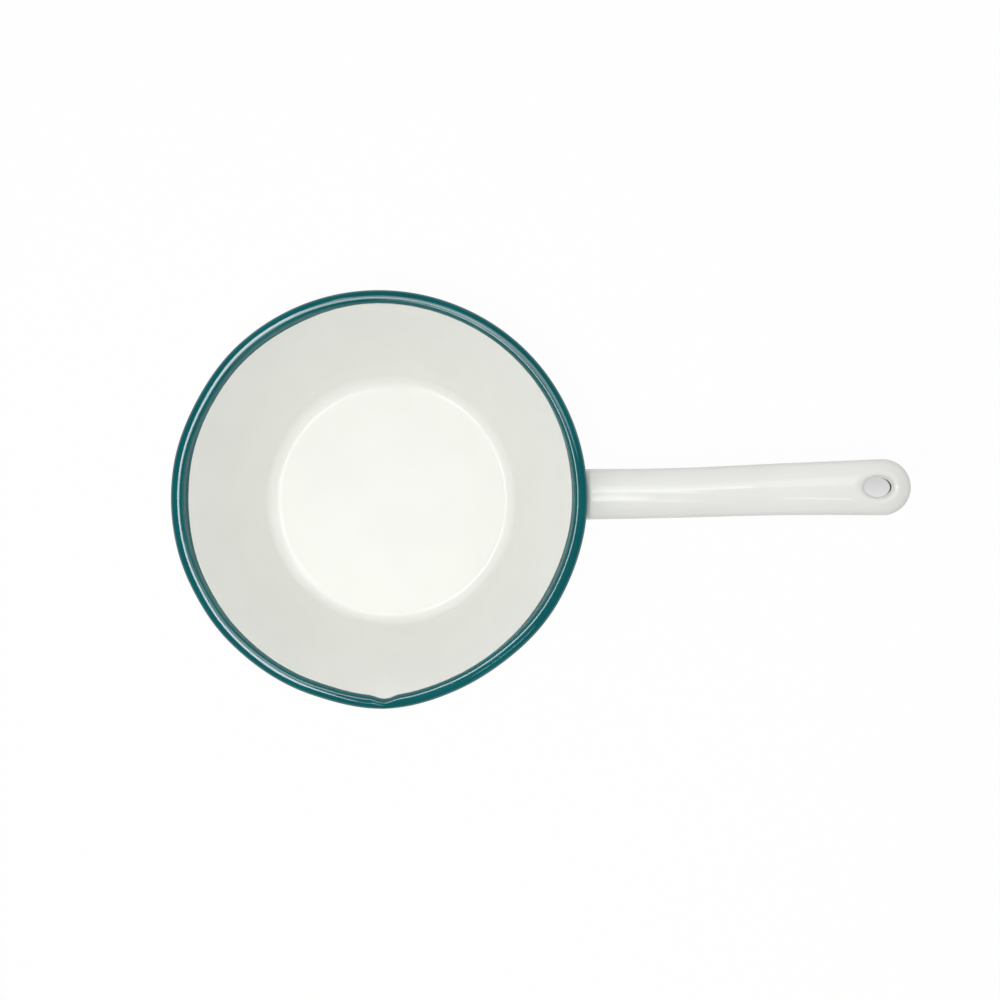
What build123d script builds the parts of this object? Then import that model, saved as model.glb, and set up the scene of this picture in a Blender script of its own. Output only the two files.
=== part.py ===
from build123d import *
from math import acos, asin, atan, atan2, cos, degrees, hypot, pi, radians, sin, tan
import os

# Enamelled steel milk pan: a drawn bowl with a rolled rim and one pouring lip, and a hollow handle of
# two pressed half shells, welded to a saddle plate on the wall under the rim.
# Millimetres. The pan stands on Z = 0, centred on the Z axis. The handle points along +X and the lip
# lies at -Y. Every thickness includes the enamel.

# Bowl
rim_diameter = 160.0
pan_height = 70.0
floor_diameter = 104.4
sheet = 1.0
corner_radius = 6.0
ring_width = 8.2
dish_rise = 0.6
dish_slope = 6.0
dish_blend = 15.0

# Rolled rim
bead_diameter = 5.4
curl_gap = 0.35
rim_skirt = 0.9

# Pouring lip: a broad push outwards with a narrow crease in its middle
lip_half_angle = 20.0
lip_push = 1.3
lip_depth = 27.0
lip_pinch = 0.15
crease_half_angle = 4.8
crease_push = 0.9
crease_depth = 15.0
crease_pinch = 0.75
lip_steps = 26
lip_level_shares = (0, 0.2, 0.4, 0.55, 0.7, 0.85, 1)

# Handle
overall_length = 280.6
handle_sheet = 1.2
root_angle = 8.5
end_rise = 28.0
end_angle = 4.0
root_width = 20.2
waist_width = 19.7
end_width = 20.9
root_depth = 14.6
end_depth = 10.8
side_round_share = 0.72
bend_share = 0.33
station_shares = (0, 0.2, 0.4, 0.6, 0.8, 1)
seam_height = 0.8
seam_proud = 0.15

# Hanging eye
eye_length = 9.9
eye_width = 7.2
eye_setback = 2.1
eye_flare = 2.1
eye_level_shares = (-1.25, -1, -0.8, -0.6, -0.35, 0.35, 0.6, 0.8, 1, 1.25)
slit_angle = 80.0

# Saddle plate and welds
root_leg = 2.2
plate_gap = 1.1
plate_top_lap = 0.7
plate_bottom_lap = 3.5
plate_edge = 3.0
plate_thickness = 1.0
plate_corner = 7.0
spot_diameter = 4.0
spot_gap = 2.4
spot_proud = 0.35
overrun = 5.0

# Worked out from the sizes above
floor_radius = floor_diameter / 2
ring_radius = floor_radius - ring_width
dish_radius = ring_radius - dish_slope
bead_radius = bead_diameter / 2
bead_centre = (rim_diameter / 2 - bead_radius, pan_height - bead_radius)
wall_run = bead_centre[0] - floor_radius
wall_rise = bead_centre[1] - sheet
lean = atan(wall_run / wall_rise) - asin(bead_radius / hypot(wall_run, wall_rise))
lip_top = bead_centre[1] + bead_radius * sin(lean) - rim_skirt
lip_bottom = lip_top - lip_depth

# The handle's root, its weld and the saddle plate hang from the underside of the curl
plate_top = pan_height - bead_diameter - plate_gap
root_cut = root_depth / cos(radians(root_angle) + lean)
weld_toe = root_leg + seam_proud
weld_height = (root_cut + 2 * weld_toe) * cos(lean)
root_height = plate_top - plate_top_lap - weld_height / 2
end_height = root_height + end_rise
plate_length = weld_height + plate_top_lap + plate_bottom_lap
spot_spread = root_width + 2 * weld_toe + 2 * spot_gap + spot_diameter
plate_width = spot_spread + spot_diameter + 2 * plate_edge
spot_pitch = plate_length - spot_diameter - 2 * plate_edge


def wall_radius(height, depth=0):
    """Radius of the plain wall at a height, on its inner face or at a depth behind it."""
    return floor_radius + (height - sheet) * tan(lean) + depth / cos(lean)


def swell(angle, half_angle):
    """Raised cosine over the lip: one in its middle, nothing from half_angle on."""
    if abs(angle) >= half_angle:
        return 0
    return cos(pi / 2 * angle / half_angle) ** 2


def fade(height, depth):
    """How much of the lip's push is left at a height: a square law that ends at depth."""
    return max(0, 1 - (lip_top - height) / depth) ** 2


def fade_slope(depth):
    """How fast that push grows with height at the top of the wall."""
    return 2 / depth


def lip_reach(angle, height):
    """How far the wall is pushed outwards, at an angle from the lip's middle."""
    broad = lip_push * swell(angle, lip_half_angle) * fade(height, lip_depth)
    narrow = crease_push * swell(angle, crease_half_angle) * fade(height, crease_depth)
    return broad + narrow


def lip_slope(angle):
    """Run over rise of the wall just under the rim, at an angle from the lip's middle."""
    broad = lip_push * swell(angle, lip_half_angle) * fade_slope(lip_depth)
    narrow = crease_push * swell(angle, crease_half_angle) * fade_slope(crease_depth)
    return tan(lean) + broad + narrow


def lip_angles():
    """Evenly spaced angles across the lip, from one end to the other."""
    return [lip_half_angle * (2 * step / lip_steps - 1) for step in range(lip_steps + 1)]


def lip_curve(height, depth):
    """Level curve of the pushed out wall across the lip, round and level with the wall at both ends."""
    points = []
    for angle in lip_angles():
        radius = wall_radius(height, depth) + lip_reach(angle, height)
        points.append((radius * sin(radians(angle)), -radius * cos(radians(angle))))
    edge = radians(lip_half_angle)
    return Spline(*points, tangents=((cos(edge), -sin(edge)), (cos(edge), sin(edge))))


def lip_section(height):
    """Level section of the wall across the lip."""
    with BuildSketch(Plane.XY.offset(height)) as section:
        with BuildLine():
            near = lip_curve(height, 0)
            far = lip_curve(height, sheet)
            Line(near @ 0, far @ 0)
            Line(near @ 1, far @ 1)
        make_face()
    return section.sketch


def upright_plane(angle):
    """Plane through the pan's axis, at an angle from the lip's middle, X outwards and Y up."""
    turn = radians(angle - 90)
    return Plane(origin=(0, 0, 0), x_dir=(cos(turn), sin(turn), 0), z_dir=(sin(turn), -cos(turn), 0))


# The bowl: floor pressed up inside its resting ring, round corner, flared wall and lip
with BuildPart() as bowl:
    with BuildSketch(Plane.XZ):
        with BuildLine():
            inside = FilletPolyline(
                (0, sheet + dish_rise),
                (dish_radius, sheet + dish_rise),
                (ring_radius, sheet),
                (floor_radius, sheet),
                (wall_radius(lip_bottom), lip_bottom),
                radius=(dish_blend + sheet, dish_blend, corner_radius),
            )
            outside = FilletPolyline(
                (0, dish_rise),
                (dish_radius, dish_rise),
                (ring_radius, 0),
                (wall_radius(0, sheet), 0),
                (wall_radius(lip_bottom, sheet), lip_bottom),
                radius=(dish_blend, dish_blend + sheet, corner_radius + sheet),
            )
            Line(inside @ 0, outside @ 0)
            Line(inside @ 1, outside @ 1)
        make_face()
    revolve(axis=Axis.Z)
    with BuildSketch(upright_plane(lip_half_angle)):
        with BuildLine():
            Polyline(
                (wall_radius(lip_bottom), lip_bottom),
                (wall_radius(lip_bottom, sheet), lip_bottom),
                (wall_radius(lip_top, sheet), lip_top),
                (wall_radius(lip_top), lip_top),
                close=True,
            )
        make_face()
    revolve(axis=Axis.Z, revolution_arc=360 - 2 * lip_half_angle)
    loft([lip_section(lip_bottom + share * lip_depth) for share in lip_level_shares])
bowl.part.label = "bowl"


def rim_section(angle):
    """Outline of the wall's end and of the hollow curl that it runs into."""
    pinch = lip_pinch * swell(angle, lip_half_angle) + crease_pinch * swell(angle, crease_half_angle)
    outer = bead_radius - pinch
    inner = outer - sheet
    tilt = atan(lip_slope(angle))
    foot = wall_radius(lip_top) + lip_reach(angle, lip_top)
    rise = pan_height - outer
    centre = (foot + (rise - lip_top) * lip_slope(angle) + outer / cos(tilt), rise)
    start = 180 - degrees(tilt)
    sweep = 360 - degrees(acos((inner - curl_gap) / outer))
    with BuildSketch(upright_plane(angle)) as section:
        with BuildLine():
            outer_near = CenterArc(centre, outer, start, -sweep / 2)
            outer_far = CenterArc(centre, outer, start - sweep / 2, -sweep / 2)
            inner_near = CenterArc(centre, inner, start, -sweep / 2)
            inner_far = CenterArc(centre, inner, start - sweep / 2, -sweep / 2)
            Line(outer_far @ 1, inner_far @ 1)
            Line((foot, lip_top), outer_near @ 0)
            Line((foot + sheet / cos(tilt), lip_top), inner_near @ 0)
            Line((foot, lip_top), (foot + sheet / cos(tilt), lip_top))
        make_face()
    return section.sketch


# The rolled rim: the top of the same sheet curled outwards, squeezed narrower at the lip
with BuildPart() as rolled_rim:
    revolve(rim_section(lip_half_angle), axis=Axis.Z, revolution_arc=360 - 2 * lip_half_angle)
    loft([rim_section(angle) for angle in lip_angles()])
rolled_rim.part.label = "rolled_rim"


def pan_envelope(depth):
    """Everything inside the plain wall's face at a depth, as a solid to trim with."""
    with BuildPart() as envelope:
        with BuildSketch(Plane.XZ):
            with BuildLine():
                Polyline(
                    (0, 0),
                    (wall_radius(0, depth), 0),
                    (wall_radius(pan_height, depth), pan_height),
                    (0, pan_height),
                    close=True,
                )
            make_face()
        revolve(axis=Axis.Z)
    return envelope.part


inside_wall = pan_envelope(sheet)
inside_plate = pan_envelope(sheet + plate_thickness)


def spot_planes():
    """Planes on the wall's outer face at the four spot welds, facing outwards."""
    planes = []
    for height in (-spot_pitch / 2, spot_pitch / 2):
        level = plate_top - plate_length / 2 + height
        radius = wall_radius(level, sheet)
        turn = asin(spot_spread / 2 / radius)
        for side in (-turn, turn):
            point = (radius * cos(side), radius * sin(side), level)
            outward = (cos(side) * cos(lean), sin(side) * cos(lean), -sin(lean))
            planes.append(Plane(origin=point, x_dir=(-sin(side), cos(side), 0), z_dir=outward))
    return planes


# The saddle plate: a rounded plate bent to the wall, with a hole for each spot weld
with BuildPart() as saddle_plate:
    with BuildSketch(Plane.XZ):
        with BuildLine():
            Polyline(
                (wall_radius(0, sheet), 0),
                (wall_radius(0, sheet + plate_thickness), 0),
                (wall_radius(pan_height, sheet + plate_thickness), pan_height),
                (wall_radius(pan_height, sheet), pan_height),
                close=True,
            )
        make_face()
    revolve(axis=Axis.Z)
    with BuildSketch(Plane.YZ):
        with Locations((0, plate_top - plate_length / 2)):
            RectangleRounded(plate_width, plate_length, plate_corner)
    extrude(amount=rim_diameter, mode=Mode.INTERSECT)
    with BuildSketch(*spot_planes()):
        Circle(spot_diameter / 2)
    extrude(amount=overrun, both=True, mode=Mode.SUBTRACT)
saddle_plate.part.label = "saddle_plate"

# The spot welds: buttons that fill the holes and stand a little proud
with BuildPart() as saddle_spot_welds:
    with BuildSketch(*spot_planes()):
        Circle(spot_diameter / 2)
    extrude(amount=plate_thickness + spot_proud)
    fillet(saddle_spot_welds.faces().sort_by(Axis.X)[-4:].edges(), spot_proud / 2)
    with BuildSketch(*spot_planes()):
        Circle(spot_diameter / 2)
    extrude(amount=-sheet / 2)
    add(inside_wall, mode=Mode.SUBTRACT)
saddle_spot_welds.part.label = "saddle_spot_welds"

# The handle's centreline, a gentle S from inside the wall up to the middle of the round end
root_point = Vector(wall_radius(root_height, sheet + plate_thickness), 0, root_height)
root_aim = Vector(cos(radians(root_angle)), 0, sin(radians(root_angle)))
end_aim = Vector(cos(radians(end_angle)), 0, sin(radians(end_angle)))
end_tip = overall_length - rim_diameter / 2
end_point = Vector(end_tip - end_width / 2 * end_aim.X, 0, end_height)
start_point = root_point - root_aim * (root_depth / 2)
bend_arm = bend_share * (end_point - start_point).length
with BuildLine() as centreline:
    Bezier(start_point, start_point + root_aim * bend_arm, end_point - end_aim * bend_arm, end_point)


def section_plane(share):
    """Plane square to the handle's centreline, X across the handle and Y upwards."""
    return Plane(origin=centreline.line @ share, x_dir=(0, 1, 0), z_dir=centreline.line % share)


def handle_width(share):
    """Width along the handle: root, waist and end joined by one square law."""
    root = root_width * (1 - share) * (1 - 2 * share)
    waist = waist_width * 4 * share * (1 - share)
    end = end_width * share * (2 * share - 1)
    return root + waist + end


def handle_depth(share):
    """Depth along the handle, falling smoothly from the root to the end."""
    return root_depth + (end_depth - root_depth) * share ** 2 * (3 - 2 * share)


def oval_measures(width, depth):
    """Side radius, crown radius, their centres and where they meet, for four tangent arcs."""
    side = side_round_share * depth / 2
    reach = width / 2 - side
    rest = depth / 2 - side
    drop = (reach ** 2 - rest ** 2) / (2 * rest)
    return side, depth / 2 + drop, reach, drop, degrees(atan2(drop, reach))


def oval(plane, width, depth, inset):
    """Outline of two flat crowns and two round sides, drawn in by inset."""
    side, crown, reach, drop, turn = oval_measures(width, depth)
    with BuildSketch(plane) as section:
        with BuildLine():
            CenterArc((reach, 0), side - inset, -turn, 2 * turn)
            CenterArc((0, -drop), crown - inset, turn, 180 - 2 * turn)
            CenterArc((-reach, 0), side - inset, 180 - turn, 2 * turn)
            CenterArc((0, drop), crown - inset, 180 + turn, 180 - 2 * turn)
        make_face()
    return section.sketch


def half_oval(plane, width, depth, inset):
    """The same outline on the +X side alone, closed along its middle."""
    side, crown, reach, drop, turn = oval_measures(width, depth)
    with BuildSketch(plane) as section:
        with BuildLine():
            CenterArc((reach, 0), side - inset, -turn, 2 * turn)
            top = CenterArc((0, -drop), crown - inset, turn, 90 - turn)
            under = CenterArc((0, drop), crown - inset, -90, 90 - turn)
            Line(top @ 1, under @ 0)
        make_face()
    return section.sketch


def handle_section(share, inset):
    """The handle's oval at a share of its centreline."""
    return oval(section_plane(share), handle_width(share), handle_depth(share), inset)


def shank_form(inset):
    """The handle's outer form from inside the wall to the middle of its round end, drawn in by inset."""
    with BuildPart() as form:
        loft([handle_section(share, inset) for share in station_shares])
    return form.part


def tip_form(inset):
    """The handle's round end, drawn in by inset: half of its last section turned about its middle."""
    end_plane = section_plane(1)
    end_axis = Axis(end_plane.origin, -end_plane.y_dir)
    with BuildPart() as form:
        revolve(half_oval(end_plane, end_width, end_depth, inset), axis=end_axis, revolution_arc=180)
    return form.part


def eye_plane():
    """Plane of the hanging eye in the handle's middle surface, X along the handle."""
    end_plane = section_plane(1)
    middle = end_plane.origin - end_plane.z_dir * eye_setback
    return Plane(origin=middle, x_dir=end_plane.z_dir, z_dir=end_plane.y_dir)


def eye_form(grow):
    """The trumpet shaped way through the hanging eye, from crown to crown, wider by grow."""
    with BuildPart() as form:
        for share in eye_level_shares:
            spread = grow + eye_flare * abs(share) ** 3
            with BuildSketch(eye_plane().offset(share * end_depth / 2)):
                Ellipse(eye_length / 2 + spread, eye_width / 2 + spread)
        loft()
    return form.part


def layer(low, high):
    """Solid between two copies of the handle's middle surface, at low and at high above it."""
    root_up = Vector(-root_aim.Z, 0, root_aim.X)
    end_up = Vector(-end_aim.Z, 0, end_aim.X)
    with BuildPart() as band:
        with BuildSketch(Plane.XZ):
            with BuildLine():
                ends = []
                for level in (low, high):
                    root = start_point + root_up * level
                    end = end_point + end_up * level
                    before = root - root_aim * root_depth
                    bend = (root, root + root_aim * bend_arm, end - end_aim * bend_arm, end)
                    beyond = end + end_aim * end_width
                    Line((before.X, before.Z), (root.X, root.Z))
                    Bezier(*[(point.X, point.Z) for point in bend])
                    Line((end.X, end.Z), (beyond.X, beyond.Z))
                    ends.append(((before.X, before.Z), (beyond.X, beyond.Z)))
                Line(ends[0][0], ends[1][0])
                Line(ends[0][1], ends[1][1])
            make_face()
        extrude(amount=end_width, both=True)
    return band.part


eye_wall = eye_form(handle_sheet)
eye_hole = eye_form(0)
seam_layer = layer(-seam_height / 2, seam_height / 2)


def pressed_sheet(form, side_layer):
    """The sheet of one half shell over one length of the handle, with its dimple down to the eye."""
    with BuildPart() as hollow:
        add(form(handle_sheet))
        add(eye_wall, mode=Mode.SUBTRACT)
    with BuildPart() as pressing:
        add(form(0))
        add(side_layer, mode=Mode.INTERSECT)
        add(hollow.part, mode=Mode.SUBTRACT)
        add(eye_hole, mode=Mode.SUBTRACT)
        add(inside_plate, mode=Mode.SUBTRACT)
    return pressing.part


def seam_ring(form):
    """The weld between the half shells over one length of the handle, a little proud of them."""
    with BuildPart() as ring:
        add(form(-seam_proud))
        add(seam_layer, mode=Mode.INTERSECT)
        add(form(handle_sheet), mode=Mode.SUBTRACT)
        add(inside_plate, mode=Mode.SUBTRACT)
    return ring.part


# The upper half shell of the handle
upper_layer = layer(seam_height / 2, root_depth)
upper_shank = pressed_sheet(shank_form, upper_layer)
upper_tip = pressed_sheet(tip_form, upper_layer)
with BuildPart() as handle_upper_shell:
    add([upper_shank, upper_tip])
handle_upper_shell.part.label = "handle_upper_shell"

# The lower half shell of the handle
lower_layer = layer(-root_depth, -seam_height / 2)
lower_shank = pressed_sheet(shank_form, lower_layer)
lower_tip = pressed_sheet(tip_form, lower_layer)
with BuildPart() as handle_lower_shell:
    add([lower_shank, lower_tip])
handle_lower_shell.part.label = "handle_lower_shell"

# The seam weld: along both sides of the handle and round its tip
shank_ring = seam_ring(shank_form)
tip_ring = seam_ring(tip_form)
with BuildPart() as handle_seam_weld:
    add([shank_ring, tip_ring])
handle_seam_weld.part.label = "handle_seam_weld"

# The eye weld: joins the two dimples and stops short on the tip side, which leaves the vent slit
with BuildPart() as eye_weld:
    add(eye_wall)
    add(seam_layer, mode=Mode.INTERSECT)
    add(eye_hole, mode=Mode.SUBTRACT)
    slit_side = eye_length * tan(radians(slit_angle / 2))
    with BuildSketch(eye_plane()):
        with BuildLine():
            Polyline((0, 0), (eye_length, slit_side), (eye_length, -slit_side), close=True)
        make_face()
    extrude(amount=end_depth, both=True, mode=Mode.SUBTRACT)
eye_weld.part.label = "eye_weld"


def root_plane(leg):
    """Plane along the wall, leg away from the plate, centred where the handle crosses it."""
    skew = radians(root_angle) + lean
    outward = (cos(lean), 0, -sin(lean))
    return Plane(origin=root_point + root_aim * (leg / cos(skew)), x_dir=(0, 1, 0), z_dir=outward)


# The root weld: a tapered fillet between the handle and the saddle plate
with BuildPart() as handle_root_weld:
    wide = oval(root_plane(-root_leg), root_width, root_cut, -2 * root_leg - seam_proud)
    narrow = oval(root_plane(root_leg), root_width, root_cut, -seam_proud)
    loft([wide, narrow], ruled=True)
    add(shank_form(0), mode=Mode.SUBTRACT)
    add(handle_seam_weld.part, mode=Mode.SUBTRACT)
    add(inside_plate, mode=Mode.SUBTRACT)
handle_root_weld.part.label = "handle_root_weld"

os.makedirs("parts", exist_ok=True)
export_step(bowl.part, "parts/bowl.step")
export_step(rolled_rim.part, "parts/rolled_rim.step")
export_step(handle_upper_shell.part, "parts/handle_upper_shell.step")
export_step(handle_lower_shell.part, "parts/handle_lower_shell.step")
export_step(handle_seam_weld.part, "parts/handle_seam_weld.step")
export_step(eye_weld.part, "parts/eye_weld.step")
export_step(handle_root_weld.part, "parts/handle_root_weld.step")
export_step(saddle_plate.part, "parts/saddle_plate.step")
export_step(saddle_spot_welds.part, "parts/saddle_spot_welds.step")
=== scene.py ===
import bmesh
import bpy
import numpy as np
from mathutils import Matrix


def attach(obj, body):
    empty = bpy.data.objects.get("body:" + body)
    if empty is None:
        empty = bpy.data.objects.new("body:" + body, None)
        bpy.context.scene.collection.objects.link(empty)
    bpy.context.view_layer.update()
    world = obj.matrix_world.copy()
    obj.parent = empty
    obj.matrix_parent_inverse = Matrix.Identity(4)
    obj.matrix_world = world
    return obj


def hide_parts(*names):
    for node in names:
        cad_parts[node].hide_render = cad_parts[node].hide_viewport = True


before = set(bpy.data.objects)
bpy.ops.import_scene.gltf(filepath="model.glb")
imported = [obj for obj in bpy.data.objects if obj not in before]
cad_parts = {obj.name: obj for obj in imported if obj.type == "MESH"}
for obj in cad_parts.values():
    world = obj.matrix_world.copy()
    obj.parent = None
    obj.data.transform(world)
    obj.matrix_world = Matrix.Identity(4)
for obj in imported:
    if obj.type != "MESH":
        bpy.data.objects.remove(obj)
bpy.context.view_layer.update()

# The bowl. One steel disc is deep drawn into a raised floor, a tight corner and a flared wall, and a
# narrow pouring lip is pressed outwards on one side. The whole bowl is dipped in white enamel and fired,
# which rounds every edge, hangs a little unevenly on the wall and leaves a wet gloss.
pan_height = 0.070
rim_radius = 0.079998
bead_radius = 0.0027
floor_radius = 0.0522
sheet = 0.001
corner_radius = 0.006
inside_corner_radius = 0.0055
ring_width = 0.0082
dish_rise = 0.0006
dish_slope = 0.006
dish_blend = 0.015
inner_slope = 0.022
inner_blend = 0.25
rim_skirt = 0.0009
wall_step = 0.0012

wall_run = rim_radius - bead_radius - floor_radius
wall_rise = pan_height - bead_radius - sheet
lean = np.arctan(wall_run / wall_rise) - np.arcsin(bead_radius / np.hypot(wall_run, wall_rise))
lip_top = pan_height - bead_radius + bead_radius * np.sin(lean) - rim_skirt

lip_azimuth = np.radians(-89.55)
lip_half_angle = np.radians(20)
lip_push = 0.0012
lip_depth = 0.027
crease_half_angle = np.radians(4.8)
crease_push = 0.00113
crease_depth = 0.015

# Hand forming leaves shallow flats round the rim: azimuth, depth and half width in degrees and metres
rim_flats = np.array([
    (-54, 0.00085, 24),
    (-26, 0.00035, 22),
    (-131, 0.00025, 18),
    (-152, 0.00025, 14),
    (151, 0.00055, 20),
    (74, 0.00018, 40),
])


def wall_radius(height, depth=0):
    """Radius of the plain wall: the floor's radius plus the height times the wall's lean."""
    return floor_radius + (height - sheet) * np.tan(lean) + depth / np.cos(lean)


def swell(angle, half_angle):
    """Raised cosine: one in the middle, falling smoothly to nothing at the half angle."""
    inside = np.clip(angle / half_angle, -1, 1)
    return np.cos(np.pi / 2 * inside) ** 2


def turn_from(azimuth, middle):
    """Angle from a middle azimuth, between minus and plus half a turn."""
    return (azimuth - middle + np.pi) % (2 * np.pi) - np.pi


def lip_reach(azimuth, height):
    """How far the lip pushes the wall outwards: swell round the rim, times a square law down the wall."""
    angle = turn_from(azimuth, lip_azimuth)
    broad = lip_push * swell(angle, lip_half_angle) * np.clip(1 - (lip_top - height) / lip_depth, 0, 1) ** 2
    narrow = crease_push * swell(angle, crease_half_angle)
    return broad + narrow * np.clip(1 - (lip_top - height) / crease_depth, 0, 1) ** 2


def lip_slope(azimuth):
    """Run over rise of the wall right under the rim, the slope of the two square laws at their top."""
    angle = turn_from(azimuth, lip_azimuth)
    broad = lip_push * swell(angle, lip_half_angle) * 2 / lip_depth
    return np.tan(lean) + broad + crease_push * swell(angle, crease_half_angle) * 2 / crease_depth


def unevenness(azimuth, height):
    """How far the hand-formed flats draw the wall in, growing with the square of the height."""
    middles, depths, widths = rim_flats.T
    angle = turn_from(azimuth[..., None], np.radians(middles))
    dents = (depths * swell(angle, np.radians(widths))).sum(-1)
    return -dents * np.clip(height / pan_height, 0, 1) ** 2


arc_points = 16


def rounded_path(corners, radii, step):
    """Path through the corners, each inner one an arc that touches both straights, found by turning one
    radius into the other, with points along the straights at about the step."""
    corners = np.asarray(corners, float)
    path, reached = [], corners[0]
    for before, corner, after, radius in zip(corners, corners[1:], corners[2:], radii):
        back = (before - corner) / np.linalg.norm(before - corner)
        onward = (after - corner) / np.linalg.norm(after - corner)
        half = np.arccos(back @ onward) / 2
        middle = corner + (back + onward) / np.linalg.norm(back + onward) * radius / np.sin(half)
        first = corner + back * radius / np.tan(half)
        last = corner + onward * radius / np.tan(half)
        pieces = int(np.ceil(np.linalg.norm(first - reached) / step))
        path.append(reached + (first - reached) * np.linspace(0, 1, pieces + 1)[:-1, None])
        share, swing = np.linspace(0, 1, arc_points)[:, None], np.pi - 2 * half
        leaving, arriving = np.sin((1 - share) * swing), np.sin(share * swing)
        arc = middle + (leaving * (first - middle) + arriving * (last - middle)) / np.sin(swing)
        path.append(arc[:-1])
        reached = last
    pieces = int(np.ceil(np.linalg.norm(corners[-1] - reached) / step))
    path.append(reached + (corners[-1] - reached) * np.linspace(0, 1, pieces + 1)[:, None])
    return np.concatenate(path)


lip_points = 161
round_points = 321


def around():
    """Azimuths once round the pan, a degree apart and four times as close across the lip."""
    wide = np.linspace(lip_half_angle, 2 * np.pi - lip_half_angle, round_points)
    near = np.linspace(-lip_half_angle, lip_half_angle, lip_points)
    return lip_azimuth + np.concatenate([near[:-1], wide])


def turned(radius, height, azimuth):
    """Points at a radius and a height, turned about the pan's axis by the azimuth."""
    return np.stack(np.broadcast_arrays(radius * np.cos(azimuth), radius * np.sin(azimuth), height), -1)


merge_distance = 2e-7
sliver_size = 1e-8
sharp_angle = np.radians(38)


def piece_from(name, grids):
    """Closed mesh from grids of points: four neighbours make a face, and the grids are merged where their
    edges meet. Edges sharper than the sharp angle stay sharp."""
    points, faces, start = [], [], 0
    for grid in grids:
        rows, columns = grid.shape[:2]
        index = start + np.arange(rows * columns).reshape(rows, columns)
        corners = (index[:-1, :-1], index[:-1, 1:], index[1:, 1:], index[1:, :-1])
        faces.append(np.stack(corners, -1).reshape(-1, 4))
        points.append(grid.reshape(-1, 3))
        start += rows * columns
    mesh = bpy.data.meshes.new(name)
    mesh.from_pydata(np.concatenate(points), [], np.concatenate(faces).tolist())
    work = bmesh.new()
    work.from_mesh(mesh)
    bmesh.ops.remove_doubles(work, verts=work.verts, dist=merge_distance)
    bmesh.ops.dissolve_degenerate(work, edges=work.edges, dist=sliver_size)
    bmesh.ops.recalc_face_normals(work, faces=work.faces)
    work.to_mesh(mesh)
    work.free()
    mesh.shade_smooth()
    mesh.set_sharp_from_angle(angle=sharp_angle)
    piece = bpy.data.objects.new(name, mesh)
    bpy.context.scene.collection.objects.link(piece)
    return piece


def mark(piece, name, formula):
    """Stores a value at each point of the piece, worked out from its coordinates by the formula."""
    points = np.empty(len(piece.data.vertices) * 3, np.float32)
    piece.data.vertices.foreach_get("co", points)
    values = formula(points.reshape(-1, 3).astype(float))
    piece.data.attributes.new(name, "FLOAT", "POINT").data.foreach_set("value", values.astype(np.float32))


def feed(tree, node, fed):
    """Feeds sockets by name or number: an output is linked to its socket, and a value is put in it."""
    for key, value in fed.items():
        if isinstance(value, bpy.types.NodeSocket):
            tree.links.new(value, node.inputs[key])
        else:
            node.inputs[key].default_value = value


def new_node(tree, kind, place, fed=(), **settings):
    """Node of a kind at a place in the tree, with its settings and then its fed sockets."""
    node = tree.nodes.new(kind)
    node.location = place
    for key, value in settings.items():
        setattr(node, key, value)
    feed(tree, node, dict(fed))
    return node


def maths(tree, operation, place, *terms):
    """Result of a math node, whose terms are values or the outputs that feed them."""
    return new_node(tree, "ShaderNodeMath", place, enumerate(terms), operation=operation).outputs[0]


def ranged(tree, place, value, low, high, smooth=False, bottom=0.0, top=1.0):
    """Value brought from the range between low and high to the one between bottom and top, and kept in it."""
    fed = {"Value": value, "From Min": low, "From Max": high, "To Min": bottom, "To Max": top}
    kind = "SMOOTHSTEP" if smooth else "LINEAR"
    return new_node(tree, "ShaderNodeMapRange", place, fed, interpolation_type=kind).outputs["Result"]


def mixed(tree, place, factor, first, second):
    """Colour between the first and the second, by the factor."""
    fed = {"Factor": factor, "A": first, "B": second}
    return new_node(tree, "ShaderNodeMix", place, fed, data_type="RGBA").outputs["Result"]


def noise(tree, place, where, scale, detail):
    """Cloudy pattern with about the given number of swells to the metre."""
    fed = {"Vector": where, "Scale": scale, "Detail": detail}
    return new_node(tree, "ShaderNodeTexNoise", place, fed).outputs["Fac"]


def object_place(tree, place):
    """The point's place on the object."""
    return new_node(tree, "ShaderNodeTexCoord", place).outputs["Object"]


def marked(tree, place, name):
    """The value that mark() stored under the name."""
    return new_node(tree, "ShaderNodeAttribute", place, attribute_name=name).outputs["Fac"]


def new_group(name, inputs, outputs):
    """Empty node group with its sockets, given as labels by kind. Returns the tree and its two ends."""
    tree = bpy.data.node_groups.new(name, "ShaderNodeTree")
    for direction, kinds in (("INPUT", inputs), ("OUTPUT", outputs)):
        for kind, labels in kinds.items():
            for label in labels:
                tree.interface.new_socket(label, in_out=direction, socket_type="NodeSocket" + kind)
    given = new_node(tree, "NodeGroupInput", (-1200, 0))
    return tree, given.outputs, new_node(tree, "NodeGroupOutput", (600, 0))


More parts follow.
